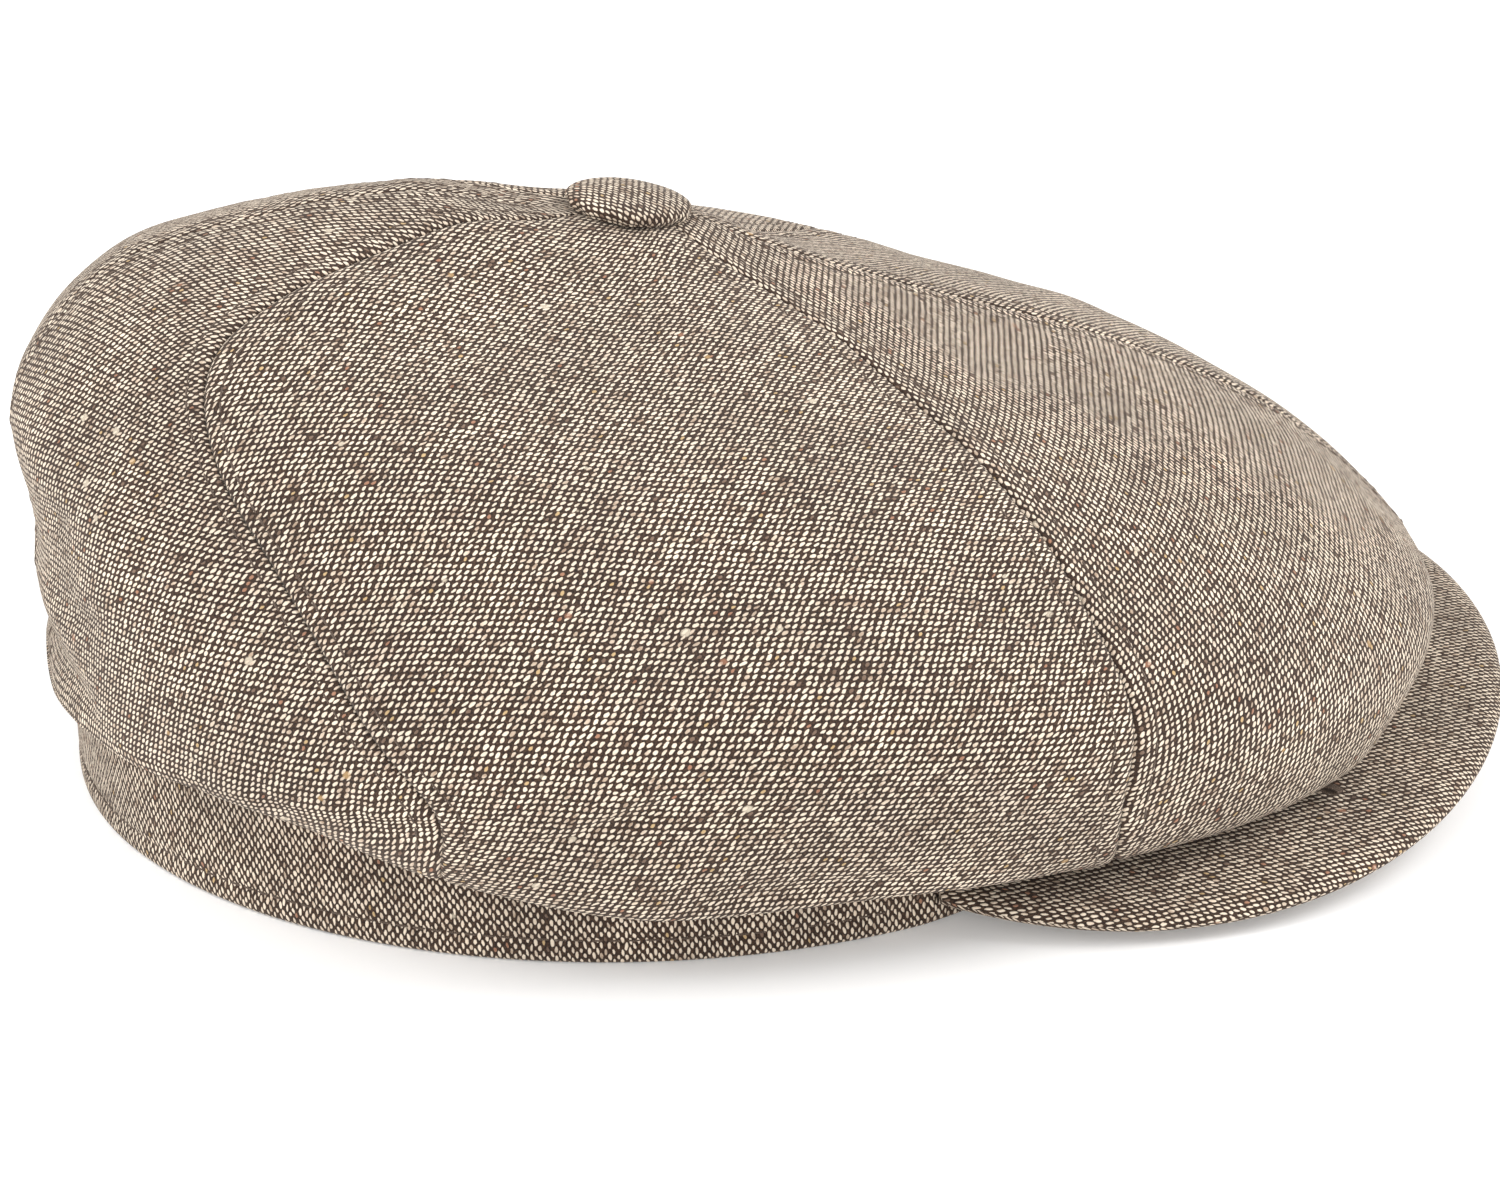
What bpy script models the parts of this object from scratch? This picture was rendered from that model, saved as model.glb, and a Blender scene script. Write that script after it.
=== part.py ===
"""Six-panel newsboy cap standing on its band: crown, lining, band, visor and covered button.

The front of the cap points along -Y and the wearer's right is -X. Work is done in "cap
coordinates" (forward, right, up) and turned into X, Y, Z by to_world.
"""

import math

import bmesh
import bpy
from mathutils import Matrix, Vector

# The opening and the band (metres)
OPENING_FRONT = 0.1010  # outer half length of the band
OPENING_SIDE = 0.0915  # outer half width of the band
BAND_TOP = 0.0225
CLOTH = 0.0012
GAP = 0.0003
PANEL_GAP = 0.0006  # between neighbouring panels, where their edges are sewn
INTERFACING = 0.0006
SWEATBAND = 0.0010
LAYER_BOTTOM = 0.0020  # the interfacing and the sweatband stop this far above the band's edge
BAND_STEPS = 60

# The visor
VISOR_REACH = 0.0540  # beyond the band at the front
VISOR_END = math.radians(69)  # where each end of the visor meets the band
VISOR_TAPER = 3.0
VISOR_TOP = 0.0165  # height of its top on the centre line
VISOR_ARCH = 1.15  # fall in metres per square metre of sideways distance
VISOR_COVER = 0.0009
VISOR_BOARD = 0.0011
VISOR_GAP = 0.0005  # between the board and each cover
VISOR_PINCH = 0.0040  # the covers close together over this last part of the visor
VISOR_COLUMNS = 28

# The crown, from the band up to the button. Each row is
# (front, side, back, heights at 0, 45, 90, 135 and 180 degrees from the front, squareness of
# the front half and of the back half).
CROWN = (
    (0.1012, 0.0917, 0.1012, 0.0232, 0.0232, 0.0232, 0.0232, 0.0232, 2.0, 2.0),
    (0.1330, 0.1010, 0.1055, 0.0176, 0.0125, 0.0125, 0.0245, 0.0215, 2.1, 2.0),
    (0.1392, 0.1085, 0.1045, 0.0270, 0.0168, 0.0345, 0.0300, 0.0260, 2.2, 2.2),
    (0.1398, 0.1080, 0.1055, 0.0325, 0.0360, 0.0485, 0.0460, 0.0528, 2.2, 2.15),
    (0.1145, 0.0920, 0.1061, 0.0545, 0.0569, 0.0625, 0.0655, 0.0730, 2.15, 2.1),
    (0.0824, 0.0700, 0.0856, 0.0695, 0.0702, 0.0760, 0.0842, 0.0940, 2.1, 2.05),
    (0.0371, 0.0312, 0.0425, 0.0846, 0.0850, 0.0893, 0.0962, 0.1024, 2.0, 2.0),
    (0.0140, 0.0156, 0.0186, 0.0942, 0.0938, 0.0950, 0.0976, 0.0985, 2.0, 2.0),
    (0.0045, 0.0060, 0.0075, 0.0955, 0.0955, 0.0958, 0.0965, 0.0968, 2.0, 2.0),
)
# Where the seams cross those rows, in degrees from the front
FRONT_SIDE_SEAM = (54, 62, 64, 63.5, 61, 57, 50, 47, 45)
SIDE_BACK_SEAM = (113, 115.5, 116, 121.5, 129, 149, 152, 154, 154)

# The lining in the same form, inside the crown
LINING = (
    (0.0980, 0.0885, 0.0980, 0.0262, 0.0262, 0.0262, 0.0262, 0.0262, 2.0, 2.0),
    (0.1250, 0.0965, 0.1010, 0.0252, 0.0261, 0.0270, 0.0285, 0.0300, 2.2, 2.2),
    (0.1330, 0.1005, 0.1010, 0.0330, 0.0380, 0.0430, 0.0455, 0.0480, 2.2, 2.2),
    (0.1080, 0.0865, 0.1000, 0.0515, 0.0535, 0.0555, 0.0618, 0.0680, 2.15, 2.15),
    (0.0780, 0.0660, 0.0840, 0.0655, 0.0678, 0.0700, 0.0780, 0.0860, 2.1, 2.1),
    (0.0360, 0.0300, 0.0410, 0.0790, 0.0815, 0.0840, 0.0893, 0.0945, 2.0, 2.0),
    (0.0060, 0.0075, 0.0090, 0.0900, 0.0900, 0.0900, 0.0905, 0.0905, 2.0, 2.0),
)
LINING_THICKNESS = 0.0005

# Topstitching beside the seams and round the band
STITCH_OUT = 0.0040  # distance of each row from its seam
STITCH_SHARE = 0.28  # and at most this share of the panel's width
STITCH_WIDTH = 0.0006
STITCH_THICKNESS = 0.0003
STITCH_CLEAR = 0.0006  # above the crown's smooth form, which its facets stay under
STITCH_FROM, STITCH_TO = 1.5, 7.0  # crown rows
BAND_STITCH_Z = 0.0055
BAND_STITCH_FROM = math.radians(73)

# The button
BUTTON_FORWARD = -0.0015
BUTTON_Z = 0.0976
BUTTON_R = 0.0110
BUTTON_H = 0.0034
BUTTON_TILT = math.radians(8)  # its front edge is lower than its back edge
SHANK_R = 0.0015

# Thread tacks between the crown and the visor
TACK_ANGLE = math.radians(42)
TACK_R = 0.0005

TWEED = (0.34, 0.27, 0.20)
DARK_THREAD = (0.06, 0.045, 0.035)
SATIN = (0.10, 0.07, 0.05)
GROSGRAIN = (0.045, 0.035, 0.03)
BOARD = (0.75, 0.74, 0.70)
METAL = (0.6, 0.6, 0.6)


def clear_scene():
    for obj in list(bpy.data.objects):
        bpy.data.objects.remove(obj, do_unlink=True)


def to_world(forward, right, up):
    return Vector((-right, -forward, up))


def material(name, colour, roughness=0.9, metallic=0.0):
    mat = bpy.data.materials.new(name)
    mat.use_nodes = True
    shader = mat.node_tree.nodes["Principled BSDF"]
    shader.inputs["Base Color"].default_value = (*colour, 1.0)
    shader.inputs["Roughness"].default_value = roughness
    shader.inputs["Metallic"].default_value = metallic
    return mat


def add_object(name, mesh, colour, roughness=0.9, metallic=0.0):
    obj = bpy.data.objects.new(name, mesh)
    bpy.data.collections["newsboy_cap"].objects.link(obj)
    mesh.materials.append(material("mat_" + name, colour, roughness, metallic))
    return obj


def grid_mesh(name, rows, outward_at):
    """An open surface through rows of points, with its faces turned towards outward_at."""
    mesh = bpy.data.meshes.new(name)
    count = len(rows[0])
    faces = []
    for i in range(len(rows) - 1):
        for j in range(count - 1):
            a = i * count + j
            faces.append((a, a + 1, a + count + 1, a + count))
    mesh.from_pydata([p for row in rows for p in row], [], faces)
    middle = mesh.polygons[len(faces) // 2]
    if middle.normal.dot(outward_at - middle.center) < 0:
        mesh.flip_normals()
    return mesh


def thicken(obj, thickness):
    """Gives an open surface its thickness, on the side away from its faces."""
    solid = obj.modifiers.new("thickness", "SOLIDIFY")
    solid.thickness = thickness
    solid.offset = -1.0
    solid.use_even_offset = True
    return obj


def spline(values, level):
    """A smooth value at a level between the rows of a table."""
    i = min(int(level), len(values) - 2)
    t = level - i
    before = values[max(i - 1, 0)]
    after = values[min(i + 2, len(values) - 1)]
    a, b = values[i], values[i + 1]
    straight = (b - before) * t + (2 * before - 5 * a + 4 * b - after) * t * t
    return 0.5 * (2 * a + straight + (3 * a - before - 3 * b + after) * t**3)


def shell_point(table, level, angle):
    """A point on the crown or the lining: level counts its rows, angle is from the front."""
    front, side, back, *heights, square_front, square_back = (
        spline([row[k] for row in table], level) for k in range(10)
    )
    c, s = math.cos(angle), math.sin(angle)
    length, z_end, z_corner, square = front, heights[0], heights[1], square_front
    if c < 0:
        length, z_end, z_corner, square = back, heights[4], heights[3], square_back
    ring = (abs(c) ** square + abs(s) ** square) ** (-1 / square)
    z_side = heights[2]
    corner = 4 * c * c * s * s
    up = z_side + c * c * (z_end - z_side) + corner * (z_corner - 0.5 * (z_side + z_end))
    return Vector((c * ring * length, s * ring * side, up))


def shell_normal(table, level, angle):
    step = 0.02
    low, high = max(level - step, 0), min(level + step, len(table) - 1)
    along = shell_point(table, high, angle) - shell_point(table, low, angle)
    around = shell_point(table, level, angle + step) - shell_point(table, level, angle - step)
    return around.cross(along).normalized()


def seam_angle(seam, table, level):
    """The angle of a seam, whose rows are spread evenly over the table's rows."""
    if not isinstance(seam, tuple):
        return math.radians(seam)
    return math.radians(spline(seam, level * (len(seam) - 1) / (len(table) - 1)))


def panel_width(table, level, start, end):
    parts = 4
    points = [
        shell_point(table, level, start + (end - start) * k / parts) for k in range(parts + 1)
    ]
    return sum((points[k + 1] - points[k]).length for k in range(parts))


def stitch_share(width):
    return min(STITCH_SHARE, STITCH_OUT / width)


def panel_columns(width, columns):
    """Shares of a panel's width: its edges, its stitch lines, and even columns between."""
    edge, stitch = 0.5 * PANEL_GAP / width, stitch_share(width)
    inner = [stitch + (1 - 2 * stitch) * k / (columns - 2) for k in range(columns - 1)]
    return [edge, *inner, 1 - edge]


def crown_levels(table, per_row):
    last = (len(table) - 1) * per_row
    return [k / per_row for k in range(last + 1)]


def shell_panel(name, table, seams, side, columns, per_row, thickness, colour, roughness):
    rows = []
    for level in crown_levels(table, per_row):
        start, end = (seam_angle(seam, table, level) for seam in seams)
        width = panel_width(table, level, start, end)
        row = []
        for share in panel_columns(width, columns):
            p = shell_point(table, level, start + (end - start) * share)
            row.append(to_world(p.x, side * p.y, p.z))
        rows.append(row)
    mesh = grid_mesh(name, rows, Vector((-side, 0, 0.3)))
    return thicken(add_object(name, mesh, colour, roughness), thickness)


PANELS = (
    ("front", (0, FRONT_SIDE_SEAM), 6),
    ("side", (FRONT_SIDE_SEAM, SIDE_BACK_SEAM), 8),
    ("back", (SIDE_BACK_SEAM, 180), 6),
)
SIDES = (("right", 1), ("left", -1))


def make_panels():
    for side_name, side in SIDES:
        for panel, seams, columns in PANELS:
            name = f"crown_panel_{panel}_{side_name}"
            shell_panel(name, CROWN, seams, side, columns, 2, CLOTH, TWEED, 0.95)
            name = f"lining_panel_{panel}_{side_name}"
            columns = columns - 2
            shell_panel(
                name, LINING, seams, side, columns, 2, LINING_THICKNESS, SATIN, 0.45
            )


def stitch_ribbon(name, seams, side, at_end):
    """One row of topstitching, lying just clear of the crown beside one edge of a panel."""
    rows = []
    for level in [k / 2 for k in range(int(2 * STITCH_FROM), int(2 * STITCH_TO) + 1)]:
        start, end = (seam_angle(seam, CROWN, level) for seam in seams)
        width = panel_width(CROWN, level, start, end)
        share = stitch_share(width)
        angle = start + (end - start) * (1 - share if at_end else share)
        half = 0.5 * STITCH_WIDTH / width * (end - start)
        lift = shell_normal(CROWN, level, angle) * (STITCH_CLEAR + STITCH_THICKNESS)
        row = []
        for turn in (-half, half):
            p = shell_point(CROWN, level, angle + turn) + lift
            row.append(to_world(p.x, side * p.y, p.z))
        rows.append(row)
    mesh = grid_mesh(name, rows, Vector((-side, 0, 0.3)))
    thicken(add_object(name, mesh, DARK_THREAD), STITCH_THICKNESS)


def make_seam_stitches():
    for side_name, side in SIDES:
        for panel, seams, _ in PANELS:
            for at_end, edge in ((False, "fore"), (True, "aft")):
                name = f"topstitch_{panel}_{side_name}_{edge}"
                stitch_ribbon(name, seams, side, at_end)


def opening_radius(angle, inset=0.0):
    """Distance of the band's outer face from the middle of the opening."""
    c, s = math.cos(angle), math.sin(angle)
    front, side = OPENING_FRONT - inset, OPENING_SIDE - inset
    return 1 / math.hypot(c / front, s / side)


def band_bottom(angle):
    """The band's lower edge: flat on the table, and arched up over the visor's root."""
    end = opening_radius(VISOR_END) * math.sin(VISOR_END)
    right = opening_radius(angle) * math.sin(angle)
    inside = abs(angle) < VISOR_END
    return VISOR_ARCH * (end * end - right * right) if inside else 0.0


def ring_wall(name, inset, bottom_gap, top, thickness, colour, roughness):
    """A closed wall round the opening."""
    angles = [-math.pi + 2 * math.pi * k / BAND_STEPS for k in range(BAND_STEPS)]
    rows = []
    for height in (0, 1):
        row = []
        for angle in angles + angles[:1]:
            r = opening_radius(angle, inset)
            low = band_bottom(angle) + bottom_gap
            up = low + (top - low) * height
            row.append(to_world(r * math.cos(angle), r * math.sin(angle), up))
        rows.append(row)
    mesh = grid_mesh(name, rows, to_world(0, 0, 0) + (rows[0][BAND_STEPS // 2] * 2))
    close = bmesh.new()
    close.from_mesh(mesh)
    bmesh.ops.remove_doubles(close, verts=close.verts, dist=1e-6)
    close.to_mesh(mesh)
    close.free()
    return thicken(add_object(name, mesh, colour, roughness), thickness)


def make_band():
    ring_wall("outer_band", 0.0, 0.0, BAND_TOP, CLOTH, TWEED, 0.95)
    inset = CLOTH + GAP
    ring_wall("band_interfacing", inset, LAYER_BOTTOM, BAND_TOP, INTERFACING, BOARD, 0.9)
    inset += INTERFACING + GAP
    ring_wall("sweatband", inset, LAYER_BOTTOM, BAND_TOP, SWEATBAND, GROSGRAIN, 0.7)


def make_band_stitch():
    """The row of stitches round the band, from one end of the visor to the other."""
    steps = 44
    span = 2 * math.pi - 2 * BAND_STITCH_FROM
    rows = []
    for drop in (0.5, -0.5):
        row = []
        for k in range(steps + 1):
            angle = BAND_STITCH_FROM + span * k / steps
            r = opening_radius(angle, -GAP - STITCH_THICKNESS)
            up = BAND_STITCH_Z + drop * STITCH_WIDTH
            row.append(to_world(r * math.cos(angle), r * math.sin(angle), up))
        rows.append(row)
    mesh = grid_mesh("topstitch_band", rows, rows[0][steps // 2] * 2)
    thicken(add_object("topstitch_band", mesh, DARK_THREAD), STITCH_THICKNESS)


def visor_reach(angle):
    return VISOR_REACH * (1 - abs(angle / VISOR_END) ** VISOR_TAPER)


def visor_top(right):
    return VISOR_TOP - VISOR_ARCH * right * right


def visor_layer(name, drop, squeeze, inset, thickness, colour, roughness):
    """One layer of the visor. drop is how far it lies below the visor's top, squeeze how
    far its outer edge moves towards the middle layer, inset how far it stops short."""
    end = VISOR_END * (0.985 - 20 * inset)
    rows = []
    for k in range(VISOR_COLUMNS + 1):
        angle = end * math.sin(math.pi * (k / VISOR_COLUMNS - 0.5))
        inner = opening_radius(angle, -2 * GAP - inset)
        reach = max(visor_reach(angle) - GAP - 2 * inset, 0.0004)
        level_share = 1 - min(0.5, VISOR_PINCH / reach)
        row = []
        for share in (0.0, 0.35 * level_share, 0.7 * level_share, level_share, 1.0):
            r = inner + reach * share
            to_edge = reach * (1 - share)
            pinch = squeeze * max(0.0, 1 - to_edge / VISOR_PINCH)
            right = r * math.sin(angle)
            row.append(to_world(r * math.cos(angle), right, visor_top(right) - drop - pinch))
        rows.append(row)
    mesh = grid_mesh(name, rows, Vector((0, -OPENING_FRONT, 1)))
    return thicken(add_object(name, mesh, colour, roughness), thickness)


def make_visor():
    board_at = VISOR_COVER + VISOR_GAP
    under_at = board_at + VISOR_BOARD + VISOR_GAP
    close = 0.5 * (under_at - VISOR_COVER - GAP)
    visor_layer("visor_top_cover", 0.0, close, 0.0, VISOR_COVER, TWEED, 0.95)
    visor_layer("visor_board", board_at, 0.0, 0.0040, VISOR_BOARD, BOARD, 0.7)
    visor_layer("visor_under_cover", under_at, -close, 0.0, VISOR_COVER, TWEED, 0.95)


def lathe(name, profile, colour, roughness, metallic=0.0):
    """Turns a closed profile of (radius, height) points round the button's own axis."""
    mesh = bpy.data.meshes.new(name)
    work = bmesh.new()
    verts = [work.verts.new((r, 0, z)) for r, z in profile]
    edges = [work.edges.new((verts[k], verts[k + 1])) for k in range(len(verts) - 1)]
    if profile[0][0] > 0:
        edges.append(work.edges.new((verts[-1], verts[0])))
    bmesh.ops.spin(
        work, geom=verts + edges, axis=(0, 0, 1), cent=(0, 0, 0), steps=24, angle=2 * math.pi
    )
    bmesh.ops.remove_doubles(work, verts=work.verts, dist=1e-5)
    bmesh.ops.recalc_face_normals(work, faces=work.faces)
    work.transform(Matrix.Rotation(BUTTON_TILT, 4, "X"))
    work.transform(Matrix.Translation(to_world(BUTTON_FORWARD, 0, BUTTON_Z)))
    work.to_mesh(mesh)
    work.free()
    return add_object(name, mesh, colour, roughness, metallic)


def dome(radius, height, base, count=6):
    """Points of a low dome from the axis down to its edge at the height base."""
    points = []
    for k in range(count + 1):
        turn = 0.5 * math.pi * k / count
        points.append((radius * math.sin(turn), base + height * math.cos(turn) ** 0.8))
    return points


def make_button():
    cover = 0.0008
    shell = 0.0005
    outside = dome(BUTTON_R, BUTTON_H - 0.0010, 0.0010)
    hem = [(BUTTON_R - 0.0003, 0.0), (BUTTON_R - 0.0030, 0.0), (BUTTON_R - 0.0030, cover)]
    inner_r = BUTTON_R - cover
    inside = dome(inner_r, BUTTON_H - 0.0010 - cover, 0.0010)
    lathe("button_cover", outside + hem + inside[::-1], TWEED, 0.95)
    outer_r = inner_r - GAP
    top = dome(outer_r, BUTTON_H - 0.0010 - cover - GAP, cover + GAP)
    low = dome(outer_r - shell, BUTTON_H - 0.0010 - cover - GAP - shell, cover + GAP)
    shank = [(SHANK_R, low[1][1]), (SHANK_R, -0.0045), (0.0, -0.0045)]
    lathe("button_shell", top + low[:1:-1] + shank, METAL, 0.4, 1.0)
    ring = SHANK_R + GAP
    washer = [(ring, -0.0043), (0.0070, -0.0043), (0.0070, -0.0051), (ring, -0.0051)]
    lathe("button_back", washer, METAL, 0.4, 1.0)


def make_tacks():
    """A few turns of thread between the crown's front edge and the visor, on each side."""
    for side_name, side in SIDES:
        name = f"visor_tack_{side_name}"
        curve = bpy.data.curves.new(name, "CURVE")
        curve.dimensions = "3D"
        curve.bevel_depth = TACK_R
        curve.bevel_resolution = 2
        curve.use_fill_caps = True
        low = shell_point(CROWN, 1.25, TACK_ANGLE)
        out = shell_normal(CROWN, 1.25, TACK_ANGLE)
        points = []
        for k in range(5):
            share = k / 4
            level = 1.15 + 0.45 * share
            p = shell_point(CROWN, level, TACK_ANGLE)
            p += shell_normal(CROWN, level, TACK_ANGLE) * (TACK_R + 0.0006)
            points.append(to_world(p.x, side * p.y, max(p.z, low.z)))
        spline_data = curve.splines.new("POLY")
        spline_data.points.add(len(points) - 1)
        for point, place in zip(spline_data.points, points):
            point.co = (*place, 1.0)
        obj = bpy.data.objects.new(name, curve)
        bpy.data.collections["newsboy_cap"].objects.link(obj)
        curve.materials.append(material("mat_" + name, DARK_THREAD))


def centre_on_origin():
    """Moves the cap along Y so that the middle of its bounding box is on the Z axis."""
    view = bpy.context.evaluated_depsgraph_get()
    parts = bpy.data.collections["newsboy_cap"].objects
    reach = []
    for obj in parts:
        solid = obj.evaluated_get(view)
        reach += [vertex.co.y for vertex in solid.to_mesh().vertices]
        solid.to_mesh_clear()
    shift = Matrix.Translation((0, -0.5 * (min(reach) + max(reach)), 0))
    for obj in parts:
        obj.data.transform(shift)


def main():
    clear_scene()
    collection = bpy.data.collections.new("newsboy_cap")
    bpy.context.scene.collection.children.link(collection)
    make_panels()
    make_seam_stitches()
    make_band()
    make_band_stitch()
    make_visor()
    make_button()
    make_tacks()
    bpy.context.view_layer.update()
    centre_on_origin()


main()
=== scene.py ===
import math

import bpy
import numpy as np
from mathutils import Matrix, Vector, noise

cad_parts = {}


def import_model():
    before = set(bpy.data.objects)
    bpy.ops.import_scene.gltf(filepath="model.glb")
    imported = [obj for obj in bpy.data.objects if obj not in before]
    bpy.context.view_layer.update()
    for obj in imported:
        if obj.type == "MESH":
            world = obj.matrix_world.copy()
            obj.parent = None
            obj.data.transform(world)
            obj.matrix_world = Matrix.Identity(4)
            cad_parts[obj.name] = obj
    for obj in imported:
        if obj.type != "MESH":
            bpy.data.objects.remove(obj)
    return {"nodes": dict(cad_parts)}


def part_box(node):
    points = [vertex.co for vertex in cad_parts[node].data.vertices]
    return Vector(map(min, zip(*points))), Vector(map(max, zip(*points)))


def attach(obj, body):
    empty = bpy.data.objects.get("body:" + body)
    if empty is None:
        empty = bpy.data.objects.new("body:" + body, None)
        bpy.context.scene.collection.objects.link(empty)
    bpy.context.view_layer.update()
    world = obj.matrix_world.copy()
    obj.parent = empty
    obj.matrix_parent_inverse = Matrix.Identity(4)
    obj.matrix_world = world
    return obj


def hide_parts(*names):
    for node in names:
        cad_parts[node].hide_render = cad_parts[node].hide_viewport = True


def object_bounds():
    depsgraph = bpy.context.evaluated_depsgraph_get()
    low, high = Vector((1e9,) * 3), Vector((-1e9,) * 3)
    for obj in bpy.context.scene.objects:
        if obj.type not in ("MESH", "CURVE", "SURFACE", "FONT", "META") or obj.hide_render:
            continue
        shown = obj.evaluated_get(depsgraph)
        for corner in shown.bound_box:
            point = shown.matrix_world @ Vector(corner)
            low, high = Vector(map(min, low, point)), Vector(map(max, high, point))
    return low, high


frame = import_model()
CAD_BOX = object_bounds()

# Six-panel newsboy cap in flecked tweed. The front points along -Y, the wearer's right is -X.
# Shapes are worked out in cap coordinates (forward, right, up) from the middle of the opening.

BAND_LOW, BAND_HIGH = (np.array(corner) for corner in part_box("outer_band"))
OPENING_SIDE, OPENING_FRONT = 0.5 * (BAND_HIGH - BAND_LOW)[:2]
OPENING_Y = 0.5 * (BAND_LOW + BAND_HIGH)[1]
BAND_TOP = BAND_HIGH[2]
MM = 0.001

# The crown from the band up to the button. Each row is
# (front, side, back, heights at 0, 45, 90, 135 and 180 degrees from the front, squareness of
# the front half and of the back half).
CROWN = (
    (0.1012, 0.0917, 0.1012, 0.0232, 0.0232, 0.0232, 0.0232, 0.0232, 2.0, 2.0),
    (0.1330, 0.1010, 0.1055, 0.0176, 0.0125, 0.0125, 0.0245, 0.0215, 2.1, 2.0),
    (0.1392, 0.1085, 0.1045, 0.0270, 0.0168, 0.0345, 0.0300, 0.0260, 2.2, 2.2),
    (0.1398, 0.1080, 0.1055, 0.0325, 0.0360, 0.0485, 0.0460, 0.0528, 2.2, 2.15),
    (0.1145, 0.0920, 0.1061, 0.0545, 0.0569, 0.0625, 0.0655, 0.0730, 2.15, 2.1),
    (0.0824, 0.0700, 0.0856, 0.0695, 0.0702, 0.0760, 0.0842, 0.0940, 2.1, 2.05),
    (0.0371, 0.0312, 0.0425, 0.0846, 0.0850, 0.0893, 0.0962, 0.1024, 2.0, 2.0),
    (0.0140, 0.0156, 0.0186, 0.0942, 0.0938, 0.0950, 0.0976, 0.0985, 2.0, 2.0),
    (0.0045, 0.0060, 0.0075, 0.0955, 0.0955, 0.0958, 0.0965, 0.0968, 2.0, 2.0),
)
# Where the seams cross those rows, in degrees from the front
FRONT_SIDE_SEAM = (54, 62, 64, 63.5, 61, 57, 50, 47, 45)
SIDE_BACK_SEAM = (113, 115.5, 116, 121.5, 129, 149, 152, 154, 154)
FRONT_CENTRE, BACK_CENTRE = 0.0, 180.0
CLOTH = 1.2 * MM
INSIDE = (0.0, 0.0, 0.04)  # a point inside the crown

# The lining in the same form, inside the crown
LINING = (
    (0.0980, 0.0885, 0.0980, 0.0262, 0.0262, 0.0262, 0.0262, 0.0262, 2.0, 2.0),
    (0.1250, 0.0965, 0.1010, 0.0252, 0.0261, 0.0270, 0.0285, 0.0300, 2.2, 2.2),
    (0.1330, 0.1005, 0.1010, 0.0330, 0.0380, 0.0430, 0.0455, 0.0480, 2.2, 2.2),
    (0.1080, 0.0865, 0.1000, 0.0515, 0.0535, 0.0555, 0.0618, 0.0680, 2.15, 2.15),
    (0.0780, 0.0660, 0.0840, 0.0655, 0.0678, 0.0700, 0.0780, 0.0860, 2.1, 2.1),
    (0.0360, 0.0300, 0.0410, 0.0790, 0.0815, 0.0840, 0.0893, 0.0945, 2.0, 2.0),
    (0.0060, 0.0075, 0.0090, 0.0900, 0.0900, 0.0900, 0.0905, 0.0905, 2.0, 2.0),
)
LINING_CLOTH = 0.5 * MM

# Height of the cloth beside a seam: (distance from the seam, height), both in millimetres.
# The edge is turned in, puffs up, is pulled down by the topstitching and puffs up again.
SEAM_PROFILE = (
    (0.0, -0.55), (0.35, -0.18), (0.9, 0.05), (2.0, 0.17), (3.2, 0.14), (3.8, -0.02),
    (4.1, -0.06), (4.5, 0.0), (5.4, 0.09), (7.0, 0.06), (10.0, 0.0),
)
STITCH_OUT = 4.0 * MM
# The ends of the topstitching, in crown rows. The centre back rows start above the tight lip.
STITCH_LOW, STITCH_LOW_BACK, STITCH_HIGH = 0.7, 1.6, 7.1
PUCKER = 0.16 * MM
PUCKER_EVERY = 5.0 * MM

# Creases, dents and swellings in the crown, each from one point to another: (degrees from the
# front towards the right, crown row, degrees, crown row, half width in mm, height in mm).
FOLDS = (
    (108.5, 1.68, 95.5, 2.22, 1.9, -0.85),
    (106.0, 1.95, 95.0, 2.50, 3.2, 0.55),
    (124.8, 2.55, 121.2, 1.70, 1.8, -0.80),
    (134.0, 2.35, 128.5, 1.62, 2.4, -0.55),
    (166.5, 3.26, 156.5, 3.55, 3.2, -1.10),
    (163.0, 2.66, 152.5, 3.02, 2.8, -0.95),
    (160.0, 2.95, 149.0, 3.28, 3.5, 0.60),
    (150.5, 5.32, 135.0, 5.72, 5.0, 0.90),
    (95.0, 1.30, 74.0, 1.42, 3.0, -0.80),
    (66.0, 3.05, 70.0, 4.30, 4.5, -0.55),
    (-168.0, 2.16, 158.0, 2.24, 3.4, -3.20),
    (-168.0, 2.54, 160.0, 2.64, 4.5, 1.80),
    (-168.0, 1.35, 160.0, 1.35, 3.0, 1.50),
)

# The covered button, and how far the cloth gathered under it swells
BUTTON_HEIGHT = 3.4 * MM
BUTTON_TILT = math.radians(8)
BUTTON_SKIRT = 0.7 * MM
GATHER_LIFT = 0.9 * MM

# Visor. VISOR_HALF is half its thickness, and its edge is rounded over VISOR_ROUND.
VISOR_REACH = 0.0540
VISOR_END = math.radians(69)
VISOR_TAPER = 3.0
VISOR_TOP = 0.0165
VISOR_ARCH = 1.15
VISOR_HALF = 1.95 * MM
VISOR_ROUND = 5.0 * MM
VISOR_COVER = 0.9 * MM

# The tacks between the crown and the visor: how far they stand out from under the crown, the
# turns of thread in each, and the thread's radius
TACK_OUT = 2.6 * MM
TACK_TURNS = 4
TACK_THREAD = 0.20 * MM

# Band and what lines it
BAND_STITCH_Z = 4.2 * MM
BAND_STITCH_FROM = math.radians(73)
BAND_FOLD = 1.2 * MM
LAYER_BOTTOM = 2.0 * MM

# Topstitching thread
STITCH_PITCH = 2.9 * MM
STITCH_LENGTH = 2.2 * MM
STITCH_RADIUS = 0.19 * MM
STITCH_SIDES = 8

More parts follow.
